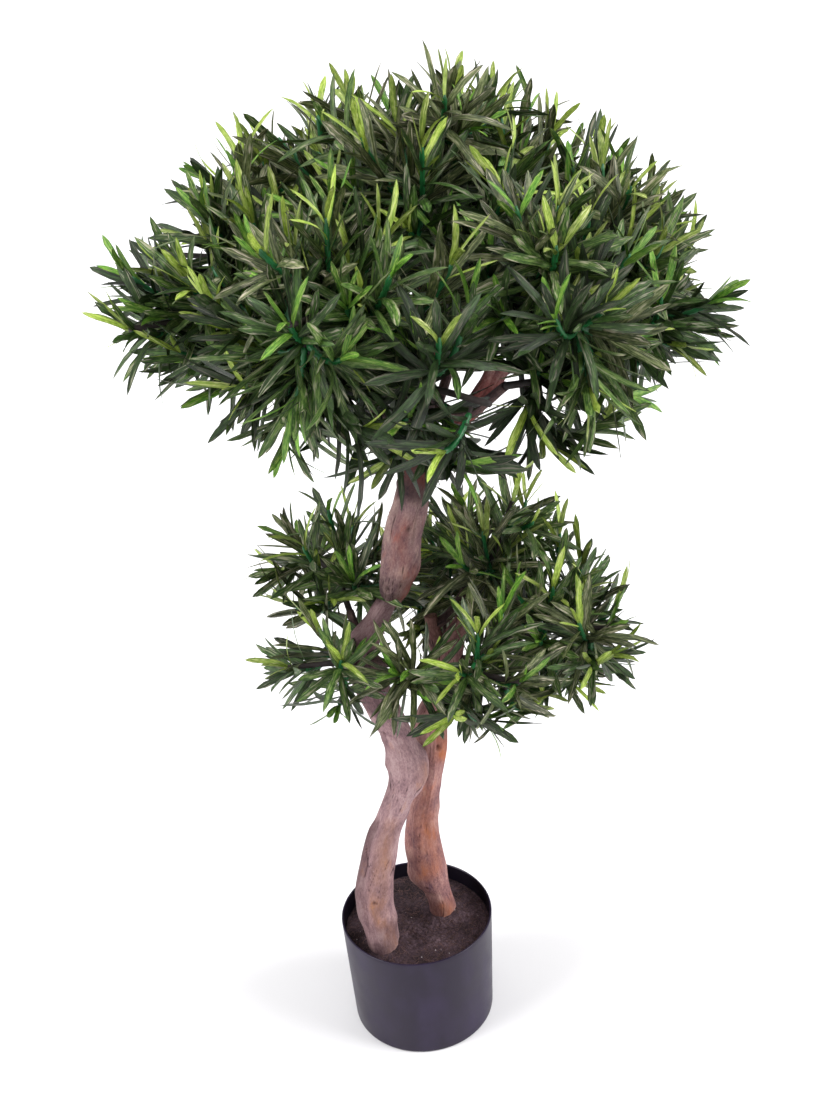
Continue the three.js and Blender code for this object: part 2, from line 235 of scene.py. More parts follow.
pot = {
    "rimRadius": 85, "footRadius": 80, "height": 135, "wall": 2.2, "innerFloor": 60, "footBevel": 3,
    "recess": 1.2, "standing": 66, "centre": 0.6, "sides": 180,
    "rings": {"rim": 9, "bevel": 6, "outside": 30, "inside": 16},
    "warps": [(2, 0.25, 0.7), (3, 0.12, 2)],  # waves round the rim, their height and phase: never quite round
    "warpAbove": 30, "warpRadii": (40, 70),  # where the warp sets in, up the wall and away from the middle
    "colour": "#190e25", "dust": "#2a1f3b", "roughness": 0.36, "specular": 0.32, "ior": 1.49, "grain": 0.7,
    # The inside's darker, greyer tone is painted shade of the pot's inner wall.
    "within": (0.35, 0.7),  # how dark and how grey the inside is beside the outside
}


def potMaterial():
    # Polypropylene with a satin mould grain: near black with a faint violet, dusty streaks and dull gloss;
    # the inside is darker and greyer as painted shade of the pot's inner wall.
    gloss = pot["roughness"]
    material, add, shader = newMaterial("potPlasticMoulded", gloss, pot["specular"], IOR=pot["ior"])
    place = add("TexCoord").outputs["Object"]
    cloud = add("TexNoise", {"Vector": place, "Scale": 22.0, "Detail": 4.0, "Roughness": 0.6})
    streakPlace = add("Mapping", {"Vector": place, "Scale": (40, 40, 12)})
    streak = add("TexNoise", {"Vector": streakPlace, "Scale": 1.0, "Detail": 4.0})
    dusty = add("Math", {0: cloud, 1: streak}, operation="MULTIPLY")
    tone = add("ValToRGB", {"Fac": dusty}, stops=[(0.18, pot["colour"]), (0.5, pot["dust"])])
    # Painted shade: the inside of the pot is darkened and greyed as if in the shadow of its wall.
    within = add("Attribute", attribute_name="within").outputs["Fac"]
    value, clean = (add("MapRange", {0: within}, ends=(0, 1, 1, inside)) for inside in pot["within"])
    tone = add("HueSaturation", {"Color": tone, "Saturation": clean, "Value": value})
    rough = add("MapRange", {0: cloud}, ends=(0.3, 0.7, gloss - 0.06, gloss + 0.1))
    # Mould grain of 0.7 mm, a little coarser than the real one so that it shows.
    grain = add("TexNoise", {"Vector": place, "Scale": 1000 / pot["grain"], "Detail": 2.0})
    bump = add("Bump", {"Height": grain, "Strength": 0.12, "Distance": 0.0003})
    wire(shader, {"Base Color": tone, "Roughness": rough, "Normal": bump})
    return material


def potPiece():
    # A profile (radius, height) turned about Z: underside, foot bevel, tapered wall, rounded rim, inside.
    rim, top, half = pot["rimRadius"], pot["height"], pot["wall"] / 2
    foot, bevel, floor, rings = pot["footRadius"], pot["footBevel"], pot["innerFloor"], pot["rings"]
    arc = np.linspace(0, np.pi, rings["rim"])
    edge = np.stack([rim - half + half * np.cos(arc), top - half + half * np.sin(arc)], -1)
    quarter = np.linspace(0, np.pi / 2, rings["bevel"])[:-1]
    corner = np.stack([foot - bevel + bevel * np.sin(quarter), bevel - bevel * np.cos(quarter)], -1)
    side = np.linspace([foot, bevel], [rim, top - half], rings["outside"])
    inner = lerp(foot, rim, floor / top) - pot["wall"]
    inside = np.linspace([rim - pot["wall"], top - half], [inner, floor], rings["inside"])
    inside = np.vstack([inside, [pot["centre"], floor]])
    under = [[pot["centre"], pot["recess"]], [pot["standing"], pot["recess"]], [pot["standing"] + bevel, 0]]
    profile = np.vstack([under, corner, side, edge[1:-1], inside])
    angle = around(pot["sides"])
    r, z = profile[:, :1], profile[:, 1:]
    warp = sum(height * np.sin(waves * angle + phase) for waves, height, phase in pot["warps"])
    r = r - np.abs(warp) * smooth(pot["warpAbove"], top, z) * smooth(*pot["warpRadii"], r)
    # The inside rings are marked for the painted shade of the inner wall.
    within = np.repeat(np.arange(len(profile)) >= len(profile) - len(inside), pot["sides"])
    piece("potShell", np.stack([r * np.cos(angle), r * np.sin(angle), z + 0 * r], -1), potMaterial(),
          ["pot"], {"within": within})


potPiece()


soil = {
    "level": 118, "radius": 81.6, "rings": 90, "sides": 220, "depth": 8, "centre": 0.004,
    # Slow rises and crumbs: height, how many waves, their pitch, seed.
    "waves": [(0.65, 12, (30, 70), 11), (0.28, 40, (3.2, 9), 12)],
    "edge": (60, 82), "edgeDrop": 1.2,  # between these radii it falls towards the pot's wall
    "heaps": [(-38, -33, 18, 7), (29, 13, 14, 6.4)],  # x, y, radius and height round each stem
    "heapWidth": 9,
    "wallShade": (-8, 56, 36, 0.6),  # x, y, width and strength of the painted shade that the pot's back wall casts on the soil
    "dark": "#2a1f22", "mid": "#43343a", "light": "#67545a",
    "nearest": 0.002,  # the share of the area, in the middle, where no fibre or speck lies
    "fibres": 1500, "fibreReach": 0.985, "fibreLength": (3, 9), "fibreRadius": 0.22, "fibreBend": 0.6,
    "fibreShape": (0.5, 1, 1, 1, 0.5), "fibreLift": 1.2, "fibreMargin": 0.6,
    "fibreSunk": 0.6, "fibreColour": "#58413f",  # its middle lies this share of the radius above the soil
    "specks": 16, "speckReach": 76, "speckSize": (0.4, 1.0), "speckUneven": (0.8, 1.2),
    "speckRise": (-0.5, 0, 0.5, 0.9), "speckShape": (0.6, 1, 0.8, 0.2), "speckColour": "#a3989a",
}


def soilHeight(x, y):
    # The level plus waves, a little lower towards the pot's wall, and heaped against each stem by a bell
    # curve of the distance from its surface.
    z = soil["level"]
    for height, *waves in soil["waves"]:
        z = z + height * hills(x, y, *waves)
    for footX, footY, radius, height in soil["heaps"]:
        off = np.maximum(np.hypot(x - footX, y - footY) - radius, 0)
        z = z + height * np.exp(-(off / soil["heapWidth"]) ** 2)
    return z - soil["edgeDrop"] * smooth(*soil["edge"], np.hypot(x, y))


def soilMaterial():
    # Peat: dark brown crumbs with lighter fibre ends, quite matt, and darker in a painted shade by the pot's
    # back wall.
    material, add, shader = newMaterial("peatAndCoir", 0.95, 0.2)
    place = add("TexCoord").outputs["Object"]
    crumbs = add("TexNoise", {"Vector": place, "Scale": 420.0, "Detail": 5.0, "Roughness": 0.7})
    patches = add("TexNoise", {"Vector": place, "Scale": 45.0, "Detail": 2.0})
    mixed = add("Math", {0: crumbs, 1: patches}, operation="MULTIPLY")
    tone = add("ValToRGB", {"Fac": mixed},
               stops=[(0.16, soil["dark"]), (0.27, soil["mid"]), (0.42, soil["light"])])
    # Painted shade: the soil is darkened where the pot's back wall would shadow it.
    wallShade = add("Attribute", attribute_name="wallShade").outputs["Fac"]
    value = add("MapRange", {0: wallShade}, ends=(0, 1, 1, 1 - soil["wallShade"][3]))
    tone = add("HueSaturation", {"Color": tone, "Value": value})
    bump = add("Bump", {"Height": crumbs, "Strength": 0.8, "Distance": 0.0012})
    wire(shader, {"Base Color": tone, "Normal": bump})
    return material


def plainMaterial(name, colour, roughness, varied, size, specular=0.4):
    # One colour that varies a little in brightness over spots of the given size in millimetres.
    material, add, shader = newMaterial(name, roughness, specular)
    place = add("TexCoord").outputs["Object"]
    spots = add("TexNoise", {"Vector": place, "Scale": 1000 / size, "Detail": 3.0})
    value = add("MapRange", {0: spots}, ends=(0.3, 0.7, 1 - varied, 1 + varied))
    wire(shader, {"Base Color": add("HueSaturation", {"Color": linear(colour), "Value": value})})
    return material


def soilCover():
    # A disc of rings, z = soilHeight(x, y), closed by a wall and an underside.
    share = np.linspace(soil["centre"], 1, soil["rings"])[:, None]
    angle = around(soil["sides"])
    x, y = soil["radius"] * share * np.cos(angle), soil["radius"] * share * np.sin(angle)
    disc = np.stack([x, y, soilHeight(x, y)], -1)
    under = disc[[-1, 0]] * [1, 1, 0] + [0, 0, soil["level"] - soil["depth"]]
    shell = np.concatenate([disc, under])[::-1]
    # A painted shadow of the back wall: a bell round one place.
    shadeX, shadeY, width, _ = soil["wallShade"]
    wallShade = np.exp(-((shell[..., 0] - shadeX) ** 2 + (shell[..., 1] - shadeY) ** 2) / width ** 2)
    piece("soilCover", shell, soilMaterial(), ["soil"], {"wallShade": wallShade})


def soilFibres(draw):
    # Coir fibres that lie on the soil, each a bent line with its ends lifted: dry plant hairs, brown, matt
    # and uneven in brightness along their length.
    count = soil["fibres"]
    far = soil["radius"] * soil["fibreReach"] * np.sqrt(draw.uniform(soil["nearest"], 1, (count, 1)))
    way, turn = draw.uniform(0, fullTurn, (2, count, 1))
    length = draw.uniform(*soil["fibreLength"], (count, 1))
    run = np.linspace(-0.5, 0.5, len(soil["fibreShape"])) * length
    bend = draw.normal(0, soil["fibreBend"], (count, 1)) * run ** 2 / length
    x = far * np.cos(way) + run * np.cos(turn) - bend * np.sin(turn)
    y = far * np.sin(way) + run * np.sin(turn) + bend * np.cos(turn)
    inside = np.hypot(x, y).max(1) < soil["radius"] - soil["fibreMargin"]
    lift = draw.uniform(0, soil["fibreLift"], (count, 1)) * smooth(0, 0.5, np.abs(run) / length)
    lift += soil["fibreRadius"] * soil["fibreSunk"]
    paths = np.stack([x, y, soilHeight(x, y) + lift], -1)[inside]
    radii = soil["fibreRadius"] * np.array(soil["fibreShape"])[:, None]
    material = plainMaterial("coirFibre", soil["fibreColour"], 0.9, 0.5, 12)
    piece("soilFibres", tubes(paths, radii, 3), material)


def soilSpecks(draw):
    # A few crumbs of perlite, blown rock that is pale and porous, so quite matt: each a short upright tube
    # with an uneven outline.
    count = soil["specks"]
    far = soil["speckReach"] * np.sqrt(draw.uniform(soil["nearest"], 1, (count, 1)))
    way = draw.uniform(0, fullTurn, (count, 1))
    size = draw.uniform(*soil["speckSize"], (count, 1))
    x, y = far * np.cos(way), far * np.sin(way)
    rise = soil["speckRise"] * size
    paths = np.stack([x + 0 * rise, y + 0 * rise, soilHeight(x, y) + rise + 0.2], -1)
    radii = (soil["speckShape"] * size)[..., None] * draw.uniform(*soil["speckUneven"], (count, 1, 5))
    material = plainMaterial("perliteCrumbs", soil["speckColour"], 0.8, 0.15, 6)
    piece("soilSpecks", tubes(paths, radii, 5), material)


soilCover()
bits = seeded(21)
soilFibres(bits)
soilSpecks(bits)

# Stations are [x, y, z, radius], as on the solids. Lobes and grooves are (angle at their foot, angle at their
# top, from, to along the limb, height in mm, width in degrees), a groove's height below zero. Warm places and
# shaded ones are laid out in the same way, with a strength for the height. Knots are (angle, along, size).
# Angles run from the back over the left to the front. Lump, fibre and crack are heights of relief in mm. Wood
# is its dark, middle and light colour, then the colour of the patches and how much of it they take up.
stems = {
    "stemLeft": {
        "node": "stem_left",
        "sides": 128, "rings": 360, "seed": 31, "lump": 0.6, "fibre": 0.13, "crack": 0.3,
        "stations": [
            [-37, -33, 108, 21], [-43, -33, 188, 20], [-35, -31, 236, 18.5], [-19, -25, 283, 14.6],
            [-5, -20, 314, 15], [3, -17, 346, 20.6], [-2, -15, 382, 14.6], [-15, -15, 418, 16.5],
            [-29, -15, 462, 17], [-29, -15, 494, 15], [-12, -13, 524, 10.5], [5, -12, 548, 9.5],
        ],
        "lobes": [
            (108, 84, 44, 178, 2, 32), (164, 104, 30, 192, -3.2, 13), (262, 275, 212, 272, 3.6, 46),
            (90, 90, -20, 44, -1.5, 44), (90, 90, -20, 90, -2, 44), (262, 262, -20, 50, -3, 40),
            (290, 262, 196, 222, -2.2, 34), (235, 225, 205, 255, 1.6, 40), (92, 92, 240, 300, 3, 40),
        ],
        "warm": [(196, 178, 40, 196, 0.5, 32), (225, 225, -10, 70, 0.35, 30), (238, 238, 222, 262, 0.3, 30)],
        "shade": [
            (126, 84, -30, 186, 0.7, 40), (100, 100, 190, 340, 0.34, 44), (180, 180, -30, 66, 0.42, 100),
            (190, 180, 60, 190, 0.24, 60), (180, 180, 316, 500, 0.5, 400),
        ],
        "knots": [(178, 88, 3.2), (140, 300, 3)],
        "wood": ("#6a5258", "#917376", "#ad9292", "#a8754f", 0.3),
    },
    "stemRight": {
        "node": "stem_right",
        "sides": 120, "rings": 330, "seed": 41, "lump": 0.8, "fibre": 0.15, "crack": 0.35,
        "stations": [
            [31, 13, 106, 14.5], [27, 14, 142, 15], [17, 17, 180, 20.5], [14, 18, 222, 20],
            [17, 17, 262, 16.5], [25, 15, 298, 12.6], [33, 14, 344, 13.8], [39, 17, 388, 14.8],
            [53, 20, 428, 16.5], [59, 20, 464, 13.5], [74, 20, 497, 7.5],
        ],
        "lobes": [
            (108, 108, 58, 92, 3.4, 40), (150, 140, 42, 58, -2.2, 46), (134, 128, 96, 240, -2.0, 13),
            (240, 250, 150, 210, 1.4, 26), (100, 100, 226, 302, 6.5, 50), (165, 165, 225, 262, -1.4, 26),
        ],
        "warm": [
            (196, 188, 66, 178, 0.5, 44), (176, 176, 120, 210, 0.4, 30), (214, 214, 226, 276, 0.65, 36),
            (196, 196, -10, 46, 0.6, 50),
        ],
        "shade": [
            (130, 120, -10, 118, 0.52, 46), (180, 180, 80, 200, 0.2, 100), (180, 180, 300, 430, 0.4, 400),
        ],
        "knots": [(200, 250, 3), (160, 62, 2.6)],
        "wood": ("#62464f", "#916865", "#b08a82", "#b26a42", 0.35),
    },
    "trunkUpper": {
        "node": "trunk_upper",
        "sides": 120, "rings": 120, "seed": 51, "lump": 0.8, "fibre": 0.14, "crack": 0.35,
        "stations": [
            [2, -12, 538, 9.5], [9, -11, 558, 15.5], [14, -10, 578, 18.8], [19, -10, 602, 18.2],
            [27, -10, 636, 17], [37, -10, 672, 16], [43, -10, 698, 14.5],
        ],
        "lobes": [
            (205, 230, 60, 170, -1.8, 14), (130, 150, 90, 160, -1.2, 18), (100, 100, -20, 40, 1.6, 40),
            (180, 180, 118, 134, 1.6, 400),
        ],
        "warm": [(180, 180, 126, 190, 0.7, 400), (170, 180, 30, 110, 0.4, 36), (230, 240, -10, 60, 0.5, 40)],
        "shade": [(180, 180, 108, 190, 0.84, 400), (180, 180, -10, 40, 0.34, 400)],
        "knots": [(186, 88, 3.4), (150, 20, 3)],
        "wood": ("#57434a", "#7d6262", "#9b837c", "#8f4b3a", 0.4),
    },
    "trunkLeader": {
        "node": "trunk_leader",
        "sides": 84, "rings": 150, "seed": 61, "lump": 0.8, "fibre": 0.2, "crack": 0.6,
        "stations": [
            [41, -10, 690, 13], [47, -9, 730, 12], [51, -5, 776, 12], [54, 0, 826, 8.5], [55, 0, 866, 5.6],
        ],
        "lobes": [(170, 190, 10, 120, -1.6, 20)], "knots": [(180, 80, 3)],
        "wood": ("#3b2427", "#69403c", "#8d6559", "#b0673c", 0.5),
    },
    "trunkRightLimb": {
        "node": "trunk_right_limb",
        "sides": 84, "rings": 130, "seed": 71, "lump": 0.9, "fibre": 0.25, "crack": 0.7,
        "stations": [
            [40, -10, 655, 11], [52, -10, 684, 10], [64, -9, 703, 9], [79, -6, 718, 8.5],
            [96, -3, 733, 8.8], [110, 0, 750, 10], [121, 0, 770, 11],
        ],
        "lobes": [(150, 180, 60, 150, -1.8, 22)], "warm": [(180, 180, 70, 138, 0.8, 70)],
        "knots": [(200, 70, 2.6)],
        "wood": ("#3a2529", "#6b4543", "#8a6b66", "#86352a", 0.5),
    },
    "stemRightFork": {
        "node": "stem_right_fork",
        "sides": 60, "rings": 60, "seed": 81, "lump": 0.5, "fibre": 0.25, "crack": 0.6,
        "stations": [[54, 20, 440, 10], [45, 21, 470, 8.5], [41, 24, 500, 6.5]],
        "wood": ("#43302e", "#6f4d49", "#8e6a60", "#9a4a34", 0.5),
    },
}
for limb in stems.values():
    limb["stations"] = np.array(limb["stations"], float)


def woodMaterial(name, dark, mid, light, patch, patches):
    # Dried wood with its bark stripped: mauve-brown flecks 1.6 mm wide and 4 mm long, warm places where the
    # skin rubbed off, dark cracks and painted shade, and pale specks of dust; dull, with a fine relief.
    material, add, shader = newMaterial(name, 0.82, 0.25)
    grain = add("Attribute", attribute_name="grain").outputs["Vector"]
    # The crack value darkens real cracks and knots and also carries painted shade.
    crack, rubbed = (add("Attribute", attribute_name=key).outputs["Fac"] for key in ("crack", "warm"))
    place = add("TexCoord").outputs["Object"]
    longer = add("Mapping", {"Vector": grain, "Scale": (1, 1, 0.4)})
    fibres = add("TexNoise", {"Vector": longer, "Scale": 620.0, "Detail": 5.0, "Roughness": 0.75})
    broad = add("TexNoise", {"Vector": longer, "Scale": 90.0, "Detail": 4.0, "Distortion": 0.4})
    both = add("Math", {0: fibres, 1: broad}, operation="ADD")
    half = add("Math", {0: both, 1: 0.5}, operation="MULTIPLY")
    tone = add("ValToRGB", {"Fac": half}, stops=[(0.37, dark), (0.49, mid), (0.62, light)])
    patchy = add("TexNoise", {"Vector": longer, "Scale": 60.0, "Detail": 5.0, "Roughness": 0.65})
    low = 0.66 - 0.2 * patches
    warm = add("MapRange", {0: patchy}, ends=(low, low + 0.14, 0, 0.5))
    uneven = add("MapRange", {0: patchy}, ends=(0.36, 0.62, 0.15, 1))
    warm = add("Math", {0: rubbed, 1: uneven, 2: warm}, operation="MULTIPLY_ADD")
    warm = add("Math", {0: warm, 1: 0.8}, operation="MINIMUM")
    specks = add("TexVoronoi", {"Vector": place, "Scale": 120.0})
    dots = add("MapRange", {0: specks}, ends=(0.06, 0.12, 0.5, 0))
    for share, code, blend in ((warm, patch, "MIX"), (dots, light, "MIX"), (crack, dark, "MULTIPLY")):
        tone = add("Mix", {0: share, 6: tone, 7: linear(code)}, data_type="RGBA", blend_type=blend).outputs[2]
    bump = add("Bump", {"Height": half, "Strength": 0.6, "Distance": 0.0012})
    wire(shader, {"Base Color": tone, "Normal": bump})
    return material


relief = {
    # Ripples: how many, their whole turns round the limb, and their pitch along it.
    "lumps": (14, (1, 5), (45, 160)), "fibres": (40, (8, 30), (60, 380)),
    "meander": (14, (3, 9), (110, 420)), "gaps": (10, (1, 4), (40, 130)),
    "crackWidth": 0.1, "gaping": (0.1, 0.9),  # heights of the meander and the gaps where cracks lie and open
    "grooveWidth": 0.35, "grooveShade": 0.3,  # the painted shade line in a groove's crease, beside the groove's own width
    "fade": 16,  # length over which a lobe's ends ease out
    # A knot's rim (height, ring and its spread), dip, flattening along the limb, and dark middle.
    "knotRim": (1.1, 1.3, 0.3), "knotDip": 1.6, "knotLong": 0.8, "knotDark": (0.8, 0.7),
    "thin": 12,  # below this radius the relief shrinks with the limb
    "closing": (0.05, 0.4, 0.75, 0.92), "over": 0.12,  # rings that close an end, and how far it stands over
}


def bell(angle, along, place):
    # exp(-(angle off the middle line / width)^2) between two places along the limb, eased at both ends; the
    # middle line wanders evenly from its foot angle to its top angle, which a tube counts from +X.
    footAngle, topAngle, low, high, _, width = place
    middle = np.radians(90 + lerp(footAngle, topAngle, np.clip((along - low) / (high - low), 0, 1)))
    off = np.angle(np.exp(1j * (angle - middle)))
    edge = min(relief["fade"], (high - low) / 2)
    fade = smooth(low, low + edge, along) * (1 - smooth(high - edge, high, along))
    return np.exp(-(off / np.radians(width)) ** 2) * fade


def woodShell(limb):
    # The limb's tube with relief: lumps and fibres as ripples, cracks where a slow ripple crosses zero,
    # lobes and grooves as bell curves round a wandering angle, knots as small dimples with a raised rim.
    # Both ends round off over a few rings.
    path, tangent, radius = spline(limb["stations"], np.linspace(0, 1, limb["rings"]))
    run = np.concatenate([[0], np.cumsum(norm(np.diff(path, axis=0)))])
    angle, along = np.meshgrid(around(limb["sides"]), run)
    lumps, fibres, meander, gaps = (ripples(angle, along, *relief[kind], limb["seed"] + k)
                                    for k, kind in enumerate(("lumps", "fibres", "meander", "gaps")))
    crack = np.exp(-(meander / relief["crackWidth"]) ** 2) * smooth(*relief["gaping"], gaps)
    height = limb["lump"] * lumps + limb["fibre"] * fibres - limb["crack"] * crack
    for lobe in limb.get("lobes", ()):
        height += lobe[4] * bell(angle, along, lobe)
        if lobe[4] < 0:
            # Painted shade: a dark line along the groove's crease.
            groove = bell(angle, along, (*lobe[:5], lobe[5] * relief["grooveWidth"]))
            crack = np.maximum(crack, relief["grooveShade"] * groove)
    warm = np.zeros_like(crack)
    # Shade places are painted shade, laid into the same crack value that darkens the cracks.
    for place in limb.get("shade", ()):
        crack = np.maximum(crack, place[4] * bell(angle, along, place))
    for place in limb.get("warm", ()):
        warm = np.maximum(warm, place[4] * bell(angle, along, place))
    rim, ring, spread = relief["knotRim"]
    dark, inner = relief["knotDark"]
    for knotAngle, knotAlong, size in limb.get("knots", ()):
        off = np.angle(np.exp(1j * (angle - np.radians(90 + knotAngle)))) * radius[:, None]
        apart = np.hypot(off, (along - knotAlong) * relief["knotLong"]) / size
        height += rim * np.exp(-(apart - ring) ** 2 / spread) - relief["knotDip"] * np.exp(-apart ** 2)
        crack = np.maximum(crack, dark * np.exp(-(apart / inner) ** 2))
    radii = radius[:, None] + height * np.minimum(1, radius[:, None] / relief["thin"])
    closing = np.array(relief["closing"])[:, None]
    over = radius * relief["over"]
    before = path[0] - tangent[0] * (over[0] * np.sqrt(1 - closing ** 2))
    after = path[-1] + tangent[-1] * (over[-1] * np.sqrt(1 - closing ** 2))
    path = np.vstack([before, path, after[::-1]])
    radii = np.vstack([radii[:1] * closing, radii, radii[-1:] * closing[::-1]])
    crack, warm, along = (np.pad(v, ((len(closing),) * 2, (0, 0)), "edge") for v in (crack, warm, along))
    grain = np.stack([radii * np.cos(angle[:1]), radii * np.sin(angle[:1]), along], -1) * mm
    return {"shell": tubes(path, radii, limb["sides"]), "grain": grain, "crack": crack, "warm": warm}


def woodPiece(name, limbs, material, nodes):
    # One piece of one limb, or of several with the same rings and sides.
    values = joined([woodShell(limb) for limb in limbs])
    shells = values.pop("shell").reshape(len(limbs), -1, limbs[0]["sides"], 3)
    piece(name, shells, material, nodes, values)


for name, limb in stems.items():
    woodPiece(name, [limb], woodMaterial(name + "Wood", *limb["wood"]), [limb["node"]])

crown = {
    "upperAxis": (54, 0, 0), "upperCore": (55, 0, 800), "lowCore": (30, 0, 470), "flattenBelow": 0.78,
    "slope": (-0.04, 0.14, 0),  # how the upper crown leans: height gained for each mm along X and Y
    # name: (count, ring radius, height, reach, first angle, sprays, bough start on the leader, step)
    "rings": {
        "top": (1, 0, 915, 136, 0, 7, 1, 0),
        "shoulder": (6, 158, 884, 114, 0, 5, 0.4, 0.06),
        "skirt": (9, 190, 845, 106, 30, 4, 0.06, 0.04),
    },
    "rightSide": (0.85, ("trunkRightLimb", 0.9, 0.01)),  # past this cosine: limb, bough start, step
    # Masses off their ring's even places, by x, y and z, and how much smaller their reach is.
    "offRing": {
        "shoulder_1": ((-8, 0, -14), 0), "shoulder_4": ((18, 0, -14), 0), "skirt_5": ((4, 0, 0), 0),
        "skirt_6": ((30, 0, -8), 8), "skirt_8": ((-34, 0, -18), 12), "skirt_9": ((2, 0, -20), 0),
    },
    # name: (centre, reach, limb, bough start)
    "low": {
        "low_left_back": ((-54, 50, 546), 90, "stemLeft", 0.82),
        "low_left_front": ((-52, -64, 506), 80, "stemLeft", 0.74),
        "low_middle": ((112, 40, 556), 92, "stemRightFork", 0.8),
        "low_right": ((160, -20, 500), 98, "stemRight", 0.86),
        "low_front": ((76, -90, 498), 84, "stemRight", 0.76),
        "low_centre": ((17, -84, 496), 64, "stemLeft", 0.82),
        "low_back": ((62, 136, 484), 96, "stemRight", 0.8),
    },
    "lowSprays": 5,
    # Straight lines through the crown that stay open to the sky or to the wood: (from, to, radius)
    "openings": [
        ((63, -300, 856), (91, 300, 646), 15), ((105, -300, 858), (162, 300, 650), 13),
        ((88, -300, 855), (108, -30, 760), 11), ((89, -300, 811), (135, 300, 569), 9),
        ((-28, -200, 643), (-54, 250, 401), 9), ((23, -200, 582), (22, 250, 310), 7),
        ((17, -200, 542), (14, 250, 252), 9), ((20, -250, 720), (19, -40, 619), 17),
        ((28, -250, 749), (29, -40, 654), 14), ((-16, -250, 622), (-26, -40, 498), 8),
        ((-19, -250, 575), (-29, -40, 440), 9), ((50, -250, 616), (57, 0, 466), 8),
        ((229, -300, 824), (338, 150, 650), 26), ((300, -150, 905), (425, 300, 794), 30),
        ((-41, -250, 533), (-67, 100, 291), 20), ((-103, -300, 987), (-195, 300, 872), 13),
        ((-98, -300, 961), (-186, 300, 827), 11), ((225, -300, 850), (368, 300, 637), 13),
        ((201, -300, 850), (327, 300, 637), 9), ((-32, -300, 1043), (-72, 300, 967), 20),
        ((190, -300, 1003), (308, 300, 898), 15), ((235, -300, 928), (385, 300, 770), 15),
        ((-65, -250, 644), (-100, 100, 445), 13), ((-48, -250, 657), (-76, 100, 463), 8),
        ((206, -250, 653), (307, 250, 374), 18), ((146, -250, 552), (215, 250, 217), 15),
        ((-75, -250, 564), (-114, 100, 334), 12), ((-106, -300, 853), (-200, 300, 641), 12),
        ((31, -250, 564), (33, 0, 399), 9), ((54, -250, 620), (63, 0, 471), 7),
    ],
    "fanSpan": 1.5, "turnEach": 53, "stemBend": 0.2, "startSpan": 0.7, "lift": 0.3, "goldenTurn": 137.5,
}
bough = {
    "foot": 6, "tip": 4, "footShare": 0.8, "enter": 0.52, "least": 16, "sag": 0.16,
    "seed": 200, "seedStep": 10, "samples": 40,  # samples of a limb for the distance from its surface
    "sides": 24, "rings": 48, "lump": 0.45, "fibre": 0.16, "crack": 0.35,
    "wood": ("#2a1f21", "#463434", "#65504c", "#6b3f30", 0.35),
}


def listMasses():
    # Masses at even steps on rings round the upper crown's axis, then the low crown's one by one.
    rows = []
    for ring, (count, radius, height, reach, first, sprays, start, step) in crown["rings"].items():
        for i in range(count):
            angle = np.radians(first + 360 * i / count)
            aside = np.array([np.cos(angle) * radius, np.sin(angle) * radius, height])
            aside[2] += aside @ crown["slope"]
            name = f"{ring}_{i + 1}" if count > 1 else ring
            away, less = crown["offRing"].get(name, ((0, 0, 0), 0))
            past, right = crown["rightSide"]
            limb, along, each = right if count > 1 and np.cos(angle) > past else ("trunkLeader", start, step)
            centre = aside + crown["upperAxis"] + away
            rows.append((name, centre, reach - less, limb, along + each * i, sprays, "upperCore"))
    rows += [(name, *row, crown["lowSprays"], "lowCore") for name, row in crown["low"].items()]
    return [{
        "name": name, "centre": np.array(centre, float), "core": np.array(crown[core], float), "reach": reach,
        "limb": stems[limb]["stations"], "start": start, "sprays": sprays, "upper": core == "upperCore",
    } for name, centre, reach, limb, start, sprays, core in rows]


masses = listMasses()


def ballDepth(mass, p):
    # Distance inside the mass's ball, which is flattened below its centre.
    out = p - mass["centre"]
    out = out * np.where(out[..., 2:] < 0, [1, 1, 1 / crown["flattenBelow"]], 1)
    return mass["reach"] - norm(out)


def depthInside(mass, p):
    # Distance inside the mass's ball and inside the planes that part it from its neighbours' balls.
    depth = ballDepth(mass, p)
    own = ((p - mass["centre"]) ** 2).sum(-1) - mass["reach"] ** 2
    for other in masses:
        if other is not mass:
            theirs = ((p - other["centre"]) ** 2).sum(-1) - other["reach"] ** 2
            depth = np.minimum(depth, (theirs - own) / (2 * norm(other["centre"] - mass["centre"])))
    return depth


def depthInCrown(mass, p):
    # Distance inside the outline of the mass's whole crown: the depths in its balls joined softly, blend
    # times the logarithm of the sum of exp(depth / blend), which fills the hollows between them a little.
    crownMates = [other for other in masses if other["upper"] == mass["upper"]]
    return spray["blend"] * np.log(sum(np.exp(ballDepth(other, p) / spray["blend"]) for other in crownMates))


def inOpening(p):
    # True where a point lies in one of the openings: nearer to its line than its radius.
    found = np.zeros(p.shape[:-1], bool)
    for start, end, radius in crown["openings"]:
        run = np.subtract(end, start)
        t = np.clip((p - start) @ run / (run @ run), 0, 1)
        found |= norm(p - start - t[..., None] * run) < radius
    return found


def boughStations(mass):
    # From the bearing limb towards the mass's centre, entering it by a share of its reach, sagging midway.
    foot, _, radius = spline(mass["limb"], mass["start"])
    distance = norm(mass["centre"] - foot)
    length = max(distance - mass["reach"] * bough["enter"], radius + bough["least"])
    tip = lerp(foot, mass["centre"], length / distance)
    middle = lerp(foot, tip, 0.5) - upward * length * bough["sag"]
    thick = min(bough["foot"], radius * bough["footShare"])
    return np.array([[*foot, thick], [*middle, (thick + bough["tip"]) / 2], [*tip, bough["tip"]]])


